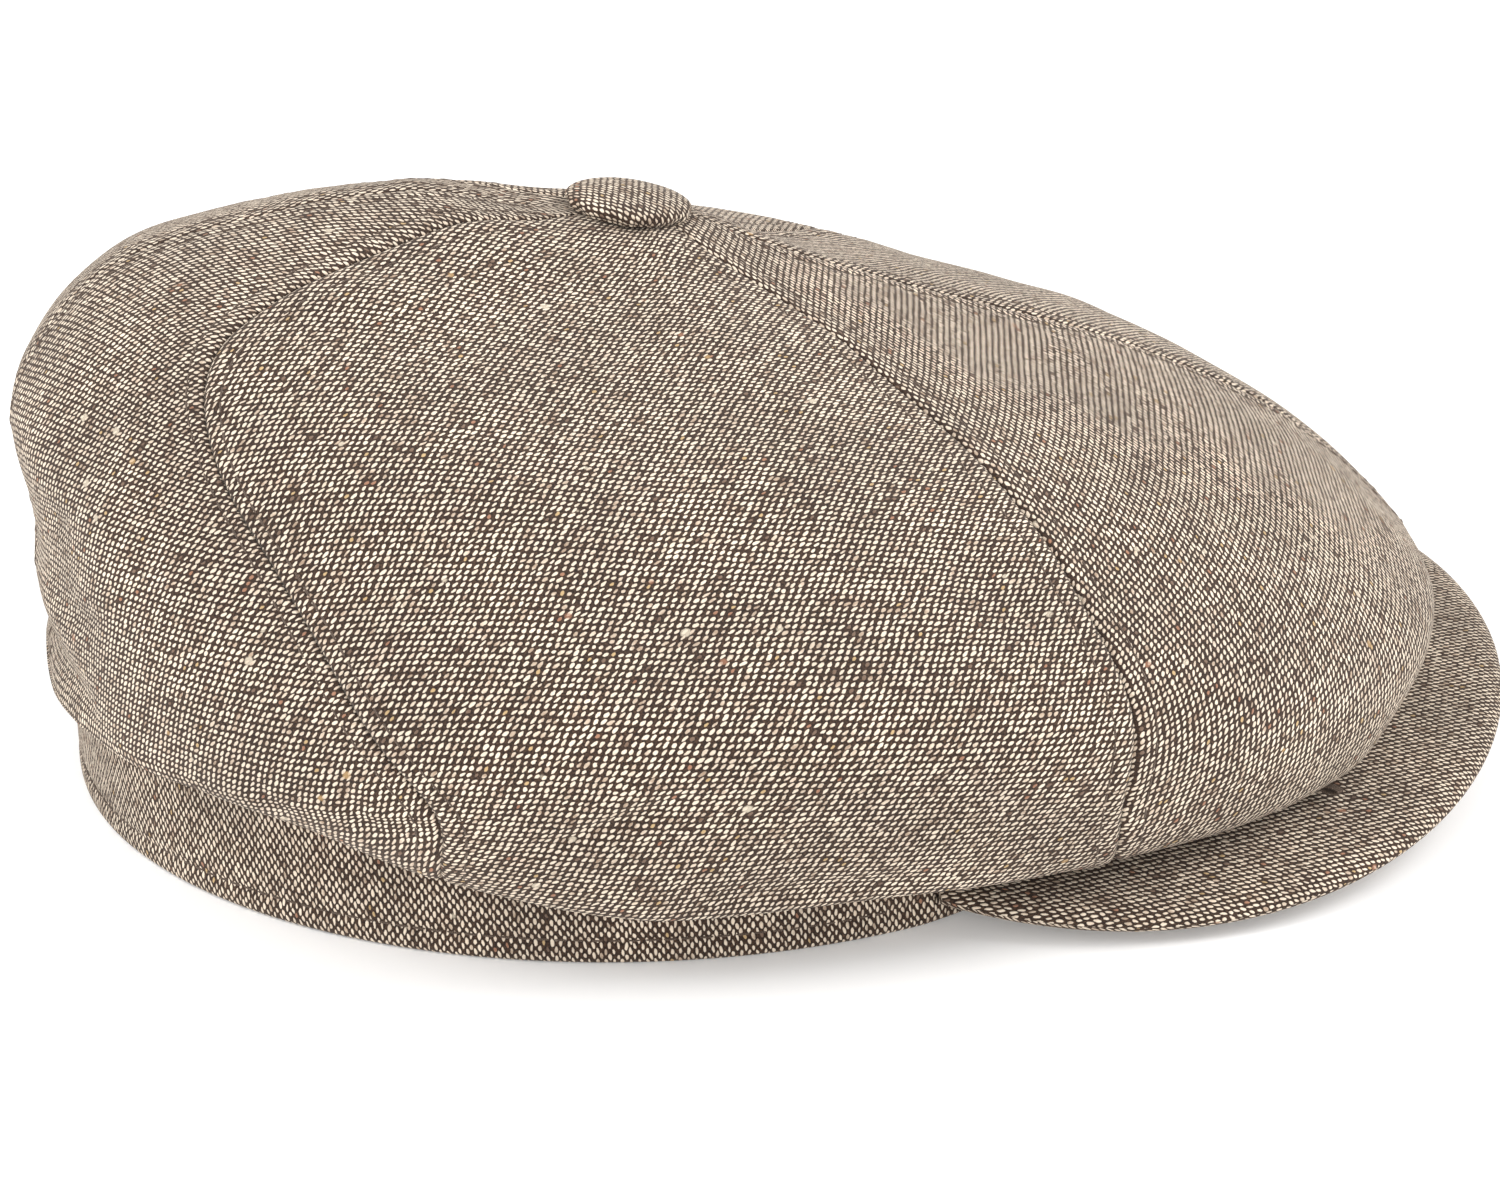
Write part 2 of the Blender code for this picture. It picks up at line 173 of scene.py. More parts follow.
# The weave, in millimetres: pale floats in staggered rows over a dark ground
FLOAT_PITCH = 1.94  # from one float to the next along a row
FLOAT_ROW = 0.66  # from one row to the next
FLOAT_SHIFT = 0.485  # each row starts this share of a pitch further along
FLOAT_LENGTH = 1.14
FLOAT_WIDTH = 0.52
NEP_EVERY = 0.17  # flecks per millimetre
NEP_SIZE = 0.15  # radius of the largest fleck, as a share of their spacing
FLOAT_SLOPE = 0.105  # of each float from its row
FLOAT_SWAY = 0.14  # how far that slope varies either way
FLOAT_STRAY = (0.14, 0.05)  # how far a float lies off its place, along and across its row
BAND_GRAIN, VISOR_GRAIN = 91.0, 69.0  # direction of the rows, in degrees
CLOTH_MAP = "cloth"

# The net that a panel is flattened with
NET_ROWS, NET_COLUMNS = 41, 29
NET_ROUNDS = 900
NET_PULL = 0.12  # the share of its stretch that a spring takes up in each round

# Studio. Angles are in degrees: azimuth from the front towards the left, and height.
CAMERA_AZIMUTH, CAMERA_HEIGHT = -100.2, 23.3
CAMERA_DISTANCE = 0.6825
CAMERA_TARGET = Vector((0.0, 0.0038, 0.0224))
CAMERA_LENS = 90.6
LIGHTS = (  # name, azimuth, height, distance, size, power
    ("front", -8, 38, 1.4, 0.9, 12.0),
    ("back", -172, 42, 1.4, 0.9, 11.0),
    ("low_fill", -88, 12, 1.6, 1.2, 8.0),
)
SKY = 0.85
FLOOR_HALF = 3.0
FLOOR_GLOW = 0.16  # keeps the shadow on the floor faint

SIDES = (("right", 1), ("left", -1))
# Each panel: name, its seams from the front backwards, and the direction of the weave's rows
# in degrees from level, as seen from outside on the wearer's right.
PANELS = (
    ("front", (FRONT_CENTRE, FRONT_SIDE_SEAM), 53.0),
    ("side", (FRONT_SIDE_SEAM, SIDE_BACK_SEAM), 31.0),
    ("back", (SIDE_BACK_SEAM, BACK_CENTRE), 46.0),
)
# The left panels are the same pieces turned over on the cloth, and the weave isn't turned.
ROWS_FROM_WARP = -21.0


# ---------------------------------------------------------------- shapes


def world(forward, right, up):
    forward, right, up = np.broadcast_arrays(forward, right, up)
    return np.stack([-right, OPENING_Y - forward, up], axis=-1)


def spline(values, level):
    """Smooth values at levels between the rows of a table."""
    values = np.asarray(values, float)
    i = np.clip(np.floor(level).astype(int), 0, len(values) - 2)
    t = level - i
    before, a = values[np.maximum(i - 1, 0)], values[i]
    b, after = values[i + 1], values[np.minimum(i + 2, len(values) - 1)]
    straight = (b - before) * t + (2 * before - 5 * a + 4 * b - after) * t * t
    return 0.5 * (2 * a + straight + (3 * a - before - 3 * b + after) * t**3)


def shell(table, level, angle):
    """Points on the crown or the lining. level counts the table's rows, and angle is in
    radians from the front, positive towards the wearer's right."""
    level, angle = np.broadcast_arrays(np.asarray(level, float), np.asarray(angle, float))
    front, side, back, *heights, square_front, square_back = (
        spline([row[k] for row in table], level) for k in range(10)
    )
    c, s = np.cos(angle), np.sin(angle)
    square = np.where(c > 0, square_front, square_back)
    ring = (np.abs(c) ** square + np.abs(s) ** square) ** (-1 / square)
    forward = c * ring * np.where(c > 0, front, back)
    z_end = np.where(c > 0, heights[0], heights[4])
    z_corner = np.where(c > 0, heights[1], heights[3])
    corner = 4 * c * c * s * s
    up = heights[2] + c * c * (z_end - heights[2])
    up = up + corner * (z_corner - 0.5 * (heights[2] + z_end))
    return world(forward, s * ring * side, up)


def seam_angle(seam, table, level):
    if not isinstance(seam, tuple):
        return np.full_like(level, math.radians(seam))
    return np.radians(spline(seam, level * (len(seam) - 1) / (len(table) - 1)))


def run(points, axis=0):
    """Distance along lines of points, from each line's first point."""
    steps = np.linalg.norm(np.diff(points, axis=axis), axis=-1)
    start = np.zeros_like(np.take(steps, [0], axis=axis))
    return np.concatenate([start, np.cumsum(steps, axis=axis)], axis=axis)


def even_levels(table, angle, count):
    fine = np.linspace(0, len(table) - 1, 800)
    length = run(shell(table, fine, angle))
    return np.interp(np.linspace(0, length[-1], count), length, fine)


def unit(vectors):
    return vectors / np.linalg.norm(vectors, axis=-1, keepdims=True)


def normals(grid, inside):
    """Normals of a grid of points, turned away from the point inside."""
    out = unit(np.cross(np.gradient(grid, axis=0), np.gradient(grid, axis=1)))
    middle = tuple(n // 2 for n in out.shape[:2])
    turn = 1 if out[middle] @ (grid[middle] - inside) > 0 else -1
    return out * turn


def soften(vectors, reach):
    """Unit vectors averaged up and down their columns, over reach rows each way."""
    padded = np.pad(vectors, ((reach, reach), (0, 0), (0, 0)), mode="edge")
    return unit(sum(padded[k:k + len(vectors)] for k in range(2 * reach + 1)))


def rough(points, size, seed=0.0):
    """Smooth noise from -1 to 1 whose bumps are about size metres across."""
    flat = points.reshape(-1, 3) / size + seed
    values = [noise.noise(Vector(p)) for p in flat.tolist()]
    return np.array(values).reshape(points.shape[:-1])


def ease(x, low, high):
    """0 below low, 1 above high, smooth between."""
    t = np.clip((x - low) / (high - low), 0, 1)
    return t * t * (3 - 2 * t)


# ---------------------------------------------------------------- meshes


def add_mesh(name, points, faces, uv, mat):
    mesh = bpy.data.meshes.new(name)
    mesh.from_pydata(points.reshape(-1, 3).tolist(), [], faces)
    layer = mesh.uv_layers.new(name=CLOTH_MAP)
    corner = np.zeros(len(mesh.loops), int)
    mesh.loops.foreach_get("vertex_index", corner)
    layer.data.foreach_set("uv", uv.reshape(-1, 2)[corner].astype(np.float32).ravel())
    mesh.shade_smooth()
    mesh.materials.append(mat)
    obj = bpy.data.objects.new(name, mesh)
    bpy.context.scene.collection.objects.link(obj)
    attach(obj, "root")
    return obj


def sheet_quads(rows, columns):
    index = np.arange(rows * columns).reshape(rows, columns)
    corners = (index[:-1, :-1], index[:-1, 1:], index[1:, 1:], index[1:, :-1])
    return np.stack(corners, axis=-1).reshape(-1, 4)


def rim_quads(rows, columns):
    index = np.arange(rows * columns).reshape(rows, columns)
    loop = np.concatenate(
        [index[0, :-1], index[:-1, -1], index[-1, :0:-1], index[:0:-1, 0]]
    )
    after = np.roll(loop, -1)
    layer = rows * columns
    return np.stack([loop, loop + layer, after + layer, after], axis=-1)


def slab(name, outer, inner, uv, mat):
    """A closed piece of cloth between two grids of the same size."""
    rows, columns = outer.shape[:2]
    quads = sheet_quads(rows, columns)
    faces = np.concatenate(
        [quads, quads[:, ::-1] + rows * columns, rim_quads(rows, columns)]
    )
    a, b, c = (outer.reshape(-1, 3)[quads[len(quads) // 2][k]] for k in (0, 1, 2))
    lift = (outer - inner).reshape(-1, 3)[quads[len(quads) // 2][0]]
    if np.cross(b - a, c - a) @ lift < 0:
        faces = faces[:, ::-1]
    points = np.concatenate([outer.reshape(-1, 3), inner.reshape(-1, 3)])
    return add_mesh(name, points, faces.tolist(), np.concatenate([uv, uv]), mat)


def cut_from_cloth(across, along, grain, origin):
    """Map coordinates in millimetres on the cloth that a piece is cut from. grain is the
    direction of the weave's rows, in degrees from the piece's own level."""
    c, s = math.cos(math.radians(grain)), math.sin(math.radians(grain))
    u, v = across / MM, along / MM
    return np.stack([u * c + v * s, v * c - u * s], axis=-1) + origin


# ---------------------------------------------------------------- stitches


def capsule(length, radius, rings=9, sides=STITCH_SIDES):
    """One stitch along x, bowed up in the middle so that its ends go into the cloth."""
    turn = np.pi * np.arange(rings) / (rings - 1)
    x = -0.5 * length * np.cos(turn)
    thick = radius * np.maximum(np.sin(turn), 0.02) ** 0.45
    height = radius * (1.1 * np.sin(turn) - 0.9)
    round_it = 2 * np.pi * np.arange(sides) / sides
    ring_x = np.repeat(x[:, None], sides, 1)
    ring_y = thick[:, None] * np.cos(round_it)
    ring_z = height[:, None] + thick[:, None] * np.sin(round_it)
    points = np.stack([ring_x, ring_y, ring_z], axis=-1).reshape(-1, 3)
    faces = []
    for i in range(rings - 1):
        for j in range(sides):
            k = (j + 1) % sides
            faces.append((i * sides + j, i * sides + k, (i + 1) * sides + k, (i + 1) * sides + j))
    return points, np.array(faces)[:, ::-1]


def stitch_row(name, path, outward, mat, pitch=STITCH_PITCH, length=STITCH_LENGTH):
    """Stitches along a path that lies on the cloth, as one piece."""
    form, faces = capsule(length, STITCH_RADIUS)
    distance = run(path)
    count = int(distance[-1] / pitch)
    at = (np.arange(count) + 0.5) * distance[-1] / count
    centre = np.stack([np.interp(at, distance, path[:, k]) for k in range(3)], axis=-1)
    ahead = np.stack([np.interp(at + 0.3 * pitch, distance, path[:, k]) for k in range(3)], -1)
    back = np.stack([np.interp(at - 0.3 * pitch, distance, path[:, k]) for k in range(3)], -1)
    up = unit(np.stack([np.interp(at, distance, outward[:, k]) for k in range(3)], axis=-1))
    along = unit(ahead - back)
    side = unit(np.cross(up, along))
    up = np.cross(along, side)
    points = (
        centre[:, None]
        + form[None, :, :1] * along[:, None]
        + form[None, :, 1:2] * side[:, None]
        + form[None, :, 2:] * up[:, None]
    )
    offsets = np.arange(count)[:, None, None] * len(form)
    walls = (faces[None] + offsets).reshape(-1, 4)
    map_u = form[:, 0] / MM + 40 * np.arange(count)[:, None]
    map_v = np.broadcast_to(np.arctan2(form[:, 1], form[:, 2])[None], map_u.shape)
    first = np.arange(STITCH_SIDES)
    last = first[::-1] + len(form) - STITCH_SIDES
    caps = np.concatenate([first + offsets[:, 0], last + offsets[:, 0]])
    uv = np.stack([map_u, map_v], axis=-1)
    return add_mesh(name, points, walls.tolist() + caps.tolist(), uv, mat)


# ---------------------------------------------------------------- materials


class Graph:
    """Short calls for building one material's nodes."""

    def __init__(self, name, roughness, sheen=0.0):
        self.mat = bpy.data.materials.new(name)
        self.mat.use_nodes = True
        self.nodes = self.mat.node_tree.nodes
        self.links = self.mat.node_tree.links
        self.shader = self.nodes["Principled BSDF"]
        self.shader.inputs["Roughness"].default_value = roughness
        self.shader.inputs["Sheen Weight"].default_value = sheen
        self.shader.inputs["Sheen Roughness"].default_value = 0.45
        self.shader.inputs["Sheen Tint"].default_value = (1.0, 0.87, 0.74, 1.0)

    def plug(self, value, socket):
        if isinstance(value, bpy.types.NodeSocket):
            self.links.new(value, socket)
        else:
            socket.default_value = value

    def math(self, operation, *values):
        node = self.nodes.new("ShaderNodeMath")
        node.operation = operation
        for value, socket in zip(values, node.inputs):
            self.plug(value, socket)
        return node.outputs[0]

    def vector(self, x, y, z=0.0):
        node = self.nodes.new("ShaderNodeCombineXYZ")
        for value, socket in zip((x, y, z), node.inputs):
            self.plug(value, socket)
        return node.outputs[0]

    def split(self, vector):
        node = self.nodes.new("ShaderNodeSeparateXYZ")
        self.plug(vector, node.inputs[0])
        return node.outputs[0], node.outputs[1], node.outputs[2]

    def cloth_map(self):
        node = self.nodes.new("ShaderNodeUVMap")
        node.uv_map = CLOTH_MAP
        return node.outputs[0]

    def noise(self, vector, scale, detail=2.0, rough_by=0.5):
        node = self.nodes.new("ShaderNodeTexNoise")
        self.plug(vector, node.inputs["Vector"])
        node.inputs["Scale"].default_value = scale
        node.inputs["Detail"].default_value = detail
        node.inputs["Roughness"].default_value = rough_by
        return node

    def random(self, vector):
        node = self.nodes.new("ShaderNodeTexWhiteNoise")
        node.noise_dimensions = "3D"
        self.plug(vector, node.inputs["Vector"])
        return node.outputs["Value"], node.outputs["Color"]

    def ramp(self, value, low, high, to_low=0.0, to_high=1.0):
        node = self.nodes.new("ShaderNodeMapRange")
        node.interpolation_type = "SMOOTHSTEP"
        for item, socket in zip((value, low, high, to_low, to_high), node.inputs):
            self.plug(item, socket)
        return node.outputs[0]

    def either_way(self, share, reach):
        """From -reach to reach as share goes from 0 to 1."""
        return self.math("MULTIPLY_ADD", share, 2.0 * reach, -reach)

    def mix(self, share, a, b, blend="MIX"):
        node = self.nodes.new("ShaderNodeMix")
        node.data_type = "RGBA"
        node.blend_type = blend
        self.plug(share, node.inputs[0])
        for value, socket in ((a, node.inputs[6]), (b, node.inputs[7])):
            self.plug((*value, 1.0) if isinstance(value, tuple) else value, socket)
        return node.outputs[2]

    def bump(self, height, distance, strength=1.0):
        node = self.nodes.new("ShaderNodeBump")
        node.inputs["Strength"].default_value = strength
        node.inputs["Distance"].default_value = distance
        self.plug(height, node.inputs["Height"])
        self.links.new(node.outputs[0], self.shader.inputs["Normal"])

    def colour(self, value):
        self.links.new(value, self.shader.inputs["Base Color"])
        return self.mat


def uneven_map(g, place):
    """Places on the cloth, shifted a little as the weave is in real cloth."""
    u, v, _ = g.split(place)
    drift_u, drift_v, _ = g.split(g.noise(place, 0.40, 4.0, 0.75).outputs["Color"])
    return g.math("MULTIPLY_ADD", drift_u, 0.9, u), g.math("MULTIPLY_ADD", drift_v, 0.6, v)


def float_place(g, u, v):
    """Place across the nearest float, in millimetres, and random numbers for that float."""
    row_at = g.math("DIVIDE", v, FLOAT_ROW)
    row = g.math("FLOOR", row_at)
    cell_at = g.math("MULTIPLY_ADD", row, FLOAT_SHIFT, g.math("DIVIDE", u, FLOAT_PITCH))
    cell = g.math("FLOOR", cell_at)
    x = g.math("MULTIPLY_ADD", g.math("SUBTRACT", cell_at, cell), FLOAT_PITCH, -0.5 * FLOAT_PITCH)
    y = g.math("MULTIPLY_ADD", g.math("SUBTRACT", row_at, row), FLOAT_ROW, -0.5 * FLOAT_ROW)
    sway_x, sway_y, lean = g.split(g.random(g.vector(cell, row, 1.0))[1])
    x = g.math("ADD", x, g.either_way(sway_x, FLOAT_STRAY[0]))
    y = g.math("ADD", y, g.either_way(sway_y, FLOAT_STRAY[1]))
    slope = g.math("SUBTRACT", g.either_way(lean, FLOAT_SWAY), FLOAT_SLOPE)
    y = g.math("MULTIPLY_ADD", x, slope, y)
    pick, picks = g.random(g.vector(cell, row))
    return x, y, pick, g.split(picks)


def float_outline(g, x, y, pick_length, pick_width, slub):
    """Distance from the middle of a float, about 1 at its edge."""
    half_x = g.math("MULTIPLY_ADD", pick_length, 0.24, 0.5 * FLOAT_LENGTH - 0.12)
    half_y = g.math("MULTIPLY_ADD", pick_width, 0.12, 0.5 * FLOAT_WIDTH - 0.06)
    half_y = g.math("MULTIPLY_ADD", slub, 0.06, half_y)
    return g.math(
        "ADD",
        g.math("POWER", g.math("ABSOLUTE", g.math("DIVIDE", x, half_x)), 1.7),
        g.math("POWER", g.math("ABSOLUTE", g.math("DIVIDE", y, half_y)), 2.0),
    )


def float_colour(g, place, pick, pick_tone, slub, hair):
    """Cream yarn of varied tone, with a few rust, gold and dark floats."""
    cloud = g.noise(place, 0.30, 3.0, 0.6).outputs[0]
    tone = g.math("MULTIPLY_ADD", pick_tone, 0.44, g.ramp(cloud, 0.30, 0.62, 0.25, 0.60))
    tone = g.math("MULTIPLY_ADD", slub, 0.25, tone)
    tone = g.math("MULTIPLY_ADD", hair, 0.22, tone)
    pale = g.mix(g.ramp(tone, 0.20, 0.90), (0.32, 0.205, 0.130), (0.86, 0.73, 0.58))
    blush = g.ramp(g.noise(place, 0.22, 3.0).outputs[0], 0.55, 0.75, 0.0, 0.45)
    pale = g.mix(g.math("MULTIPLY", blush, pick_tone), pale, (0.46, 0.25, 0.17))
    rust = g.math("LESS_THAN", pick, 0.007)
    gold = g.math("COMPARE", pick, 0.012, 0.004)
    dark = g.math("COMPARE", pick, 0.020, 0.003)
    pale = g.mix(dark, pale, (0.20, 0.130, 0.090))
    pale = g.mix(gold, pale, (0.56, 0.39, 0.20))
    return g.mix(rust, pale, (0.38, 0.195, 0.120))


def with_neps(g, cloth, u, v, hair):
    """Adds flecks of cream, gold and rust wool, larger than a float, to the cloth's colour."""
    blobs = g.nodes.new("ShaderNodeTexVoronoi")
    blobs.inputs["Scale"].default_value = NEP_EVERY
    wide = g.vector(g.math("MULTIPLY", u, 0.8), g.math("MULTIPLY_ADD", hair, 0.5, v))
    g.links.new(wide, blobs.inputs["Vector"])
    blob_pick, blob_size, _ = g.split(blobs.outputs["Color"])
    nep = g.math("SUBTRACT", g.math("MULTIPLY", blob_size, NEP_SIZE), blobs.outputs["Distance"])
    nep = g.ramp(nep, 0.0, 0.05)
    tone = g.mix(g.math("LESS_THAN", blob_pick, 0.30), (0.74, 0.64, 0.50), (0.52, 0.33, 0.15))
    tone = g.mix(g.math("LESS_THAN", blob_pick, 0.12), tone, (0.36, 0.17, 0.10))
    return g.mix(g.math("MULTIPLY", nep, 0.70), cloth, tone)


def tweed_material():
    """Pale slanted floats in staggered rows over a dark brown ground, with coloured flecks."""
    g = Graph("tweed", 0.95, 0.12)
    place = g.cloth_map()
    u, v = uneven_map(g, place)
    x, y, pick, (pick_length, pick_width, pick_tone) = float_place(g, u, v)
    streak = g.noise(g.vector(g.math("MULTIPLY", u, 0.22), g.math("MULTIPLY", v, 0.9)), 1.0, 2.0)
    slub = g.ramp(streak.outputs[0], 0.60, 0.70)
    far = float_outline(g, x, y, pick_length, pick_width, slub)
    strands = g.vector(g.math("MULTIPLY", u, 1.5), g.math("MULTIPLY", v, 8.0))
    hair = g.noise(strands, 1.0, 2.0).outputs[0]

    pale = float_colour(g, place, pick, pick_tone, slub, hair)
    speck = g.noise(place, 2.6, 3.0, 0.7).outputs[0]
    under = g.mix(g.ramp(speck, 0.35, 0.80), (0.014, 0.007, 0.004), (0.105, 0.055, 0.031))
    cloth = with_neps(g, g.mix(g.ramp(far, 1.18, 0.72), under, pale), u, v, hair)
    patch = g.noise(place, 0.05, 3.0)
    shade = g.ramp(patch.outputs[0], 0.3, 0.7, 0.86, 1.06)
    cloth = g.mix(1.0, cloth, g.vector(shade, shade, shade), "MULTIPLY")
    swell = g.math("SQRT", g.math("MAXIMUM", g.math("SUBTRACT", 1.15, far), 0.0))
    g.bump(g.math("MULTIPLY_ADD", hair, 0.25, swell), 0.00022, 1.0)
    return g.colour(cloth)


def thread_material(name, colour, pale):
    """Twisted sewing thread."""
    g = Graph(name, 0.8, 0.2)
    u, v, _ = g.split(g.cloth_map())
    twist = g.math("MULTIPLY_ADD", u, 9.0, v)
    ply = g.math("MULTIPLY_ADD", g.math("SINE", g.math("MULTIPLY", twist, 2.0)), 0.5, 0.5)
    fray = g.noise(g.cloth_map(), 3.0, 3.0).outputs[0]
    share = g.math("MULTIPLY", ply, g.ramp(fray, 0.3, 0.7))
    g.bump(ply, 0.00006, 0.7)
    return g.colour(g.mix(share, colour, pale))


def satin_material():
    """Dark brown lining: a fine diagonal weave with a soft shine."""
    g = Graph("lining_satin", 0.38, 0.1)
    place = g.cloth_map()
    u, v, _ = g.split(place)
    twill = g.math("SINE", g.math("MULTIPLY", g.math("ADD", u, v), 14.0))
    warp = g.math("SINE", g.math("MULTIPLY", u, 30.0))
    weave = g.math("MULTIPLY_ADD", g.math("MULTIPLY", twill, warp), 0.5, 0.5)
    cloud = g.noise(place, 0.12, 3.0).outputs[0]
    share = g.math("MULTIPLY", weave, g.ramp(cloud, 0.3, 0.7, 0.5, 1.0))
    g.bump(weave, 0.00003, 0.5)
    rough_by = g.ramp(cloud, 0.3, 0.7, 0.33, 0.46)
    g.links.new(rough_by, g.shader.inputs["Roughness"])
    return g.colour(g.mix(share, (0.050, 0.032, 0.022), (0.115, 0.078, 0.055)))


def grosgrain_material():
    """Ribbed ribbon: fine upright ribs crossed by a finer thread."""
    g = Graph("sweatband_grosgrain", 0.72, 0.15)
    place = g.cloth_map()
    u, v, _ = g.split(place)
    rib = g.math("ABSOLUTE", g.math("SINE", g.math("MULTIPLY", u, math.pi / 0.9)))
    cross = g.math("MULTIPLY_ADD", g.math("SINE", g.math("MULTIPLY", v, 22.0)), 0.12, rib)
    wear = g.noise(place, 0.08, 3.0).outputs[0]
    share = g.math("MULTIPLY", cross, g.ramp(wear, 0.3, 0.7, 0.45, 0.9))
    g.bump(cross, 0.00014, 0.8)
    return g.colour(g.mix(share, (0.020, 0.015, 0.012), (0.085, 0.066, 0.054)))


def hidden_material(name, dark, light, scale, roughness, metallic=0.0, depth=0.0001):
    """A material for the stiffening and the metal inside, which have no map of their own."""
    g = Graph(name, roughness)
    g.shader.inputs["Metallic"].default_value = metallic
    place = g.nodes.new("ShaderNodeTexCoord").outputs["Object"]
    mottle = g.noise(place, scale, 4.0, 0.65).outputs[0]
    g.bump(mottle, depth, 0.6)
    return g.colour(g.mix(g.ramp(mottle, 0.3, 0.7), dark, light))


# ---------------------------------------------------------------- crown


def fold_height(grid, table):
    """The creases, dents and swellings, as a height at each point of the crown."""
    height = np.zeros(grid.shape[:2])
    for degrees_a, level_a, degrees_b, level_b, half_width, rise in FOLDS:
        start = shell(table, level_a, math.radians(degrees_a))
        end = shell(table, level_b, math.radians(degrees_b))
        line = end - start
        share = np.clip((grid - start) @ line / (line @ line), 0, 1)
        off = np.linalg.norm(grid - start - share[..., None] * line, axis=-1)
        fade = 0.25 + 0.75 * np.sin(math.pi * share)
        height += rise * MM * fade * np.exp(-((off / (half_width * MM)) ** 2))
    return height


def seam_height(distance, width, along, seed):
    """How far the cloth stands out beside a seam, with the pucker of its topstitching."""
    steps, heights = zip(*SEAM_PROFILE)
    size = np.clip(width / (16 * MM), 0.25, 1.0)
    height = np.interp(distance / MM / size, steps, heights) * MM * size
    near = np.exp(-(((distance - STITCH_OUT) / (2.6 * MM)) ** 2))
    flat = np.stack([along, 0 * along, 0 * along + seed], axis=-1)
    return height + 2 * PUCKER * near * rough(flat, PUCKER_EVERY, seed)


def crown_grid(seams, side, columns=132, rows=230):
    """The outer face of one crown panel, and distances on it from its two seams."""
    first, last = (seam_angle(s, CROWN, np.array([4.0]))[0] for s in seams)
    level = even_levels(CROWN, 0.5 * (first + last), rows)
    start, end = (seam_angle(seam, CROWN, level)[:, None] for seam in seams)
    share = np.linspace(0, 1, columns)[None]
    grid = shell(CROWN, level[:, None], side * (start + (end - start) * share))
    out = soften(normals(grid, world(*INSIDE)), 6)
    from_start = run(grid, 1)
    width = from_start[:, -1:]
    along = run(grid[:, columns // 2])[:, None] + 0 * from_start
    seed = 3.7 * side + 11.3 * first
    height = seam_height(from_start, width, along, seed)
    last_seam = seam_height(width - from_start, width, along, seed + 5)
    height += last_seam * (ease(level, 1.8, 2.4)[:, None] if seams[1] == BACK_CENTRE else 1.0)
    height += 1.1 * MM * rough(grid, 38 * MM, 2.0) + 0.45 * MM * rough(grid, 15 * MM, 7.0)
    height += fold_height(grid, CROWN)
    height *= ease(level, 0.15, 0.9)[:, None] * (1 - 0.75 * ease(level, 6.6, 7.6))[:, None]
    height += GATHER_LIFT * ease(level, 6.7, 7.6)[:, None]
    grid = grid + height[..., None] * out
    return grid, level, from_start, width


def flat_pattern(grid, side):
    """Where each point of a panel lies on the flat piece it is sewn from, in metres: across
    (to the right as seen from outside) and along (up). A coarse net of springs, each as long
    as the cloth between its ends, settles on the plane."""
    rows, columns = grid.shape[:2]
    pick_rows = np.unique(np.linspace(0, rows - 1, NET_ROWS).astype(int))
    pick_columns = np.unique(np.linspace(0, columns - 1, NET_COLUMNS).astype(int))
    middle = len(pick_columns) // 2
    net = grid[np.ix_(pick_rows, pick_columns)]
    around = run(grid, 1)[np.ix_(pick_rows, pick_columns)]
    along = run(grid[:, pick_columns[middle]])[pick_rows]
    place = np.stack([(around[:, middle, None] - around) * side,
                      np.repeat(along[:, None], len(pick_columns), 1)], axis=-1)
    here, there = slice(None, -1), slice(1, None)
    whole = slice(None)
    springs = (
        ((whole, here), (whole, there)), ((here, whole), (there, whole)),
        ((here, here), (there, there)), ((here, there), (there, here)),
    )
    lengths = [np.linalg.norm(net[a] - net[b], axis=-1, keepdims=True) for a, b in springs]
    for _ in range(NET_ROUNDS):
        shift = np.zeros_like(place)
        for (a, b), length in zip(springs, lengths):
            gap = place[b] - place[a]
            size = np.linalg.norm(gap, axis=-1, keepdims=True)
            pull = NET_PULL * gap * (1 - length / np.maximum(size, 1e-9))
            shift[a] += pull
            shift[b] -= pull
        place += shift
    centre = len(pick_rows) // 2
    ahead = (place[centre, middle + 1] - place[centre, middle - 1]) * -side
    turn = -math.atan2(ahead[1], ahead[0])
    c, s = math.cos(turn), math.sin(turn)
    place = place @ np.array([[c, s], [-s, c]])
    tall = [np.interp(np.arange(rows), pick_rows, place[:, j, k])
            for j in range(len(pick_columns)) for k in (0, 1)]
    tall = np.stack(tall, axis=-1).reshape(rows, len(pick_columns), 2)
    wide = [[np.interp(np.arange(columns), pick_columns, tall[r, :, k]) for k in (0, 1)]
            for r in range(rows)]
    return np.swapaxes(np.array(wide), 1, 2)


def panel_map(grid, side, grain, origin):
    flat = flat_pattern(grid, side)
    return cut_from_cloth(flat[..., 0], flat[..., 1], grain, origin)


def line_at(grid, out, distance, value):
    """The line on a grid where distance reaches value, with the normals there."""
    rows = range(grid.shape[0])
    pick = [[np.interp(value[r], distance[r], grid[r, :, k]) for k in range(3)] for r in rows]
    face = [[np.interp(value[r], distance[r], out[r, :, k]) for k in range(3)] for r in rows]
    return np.array(pick), np.array(face)


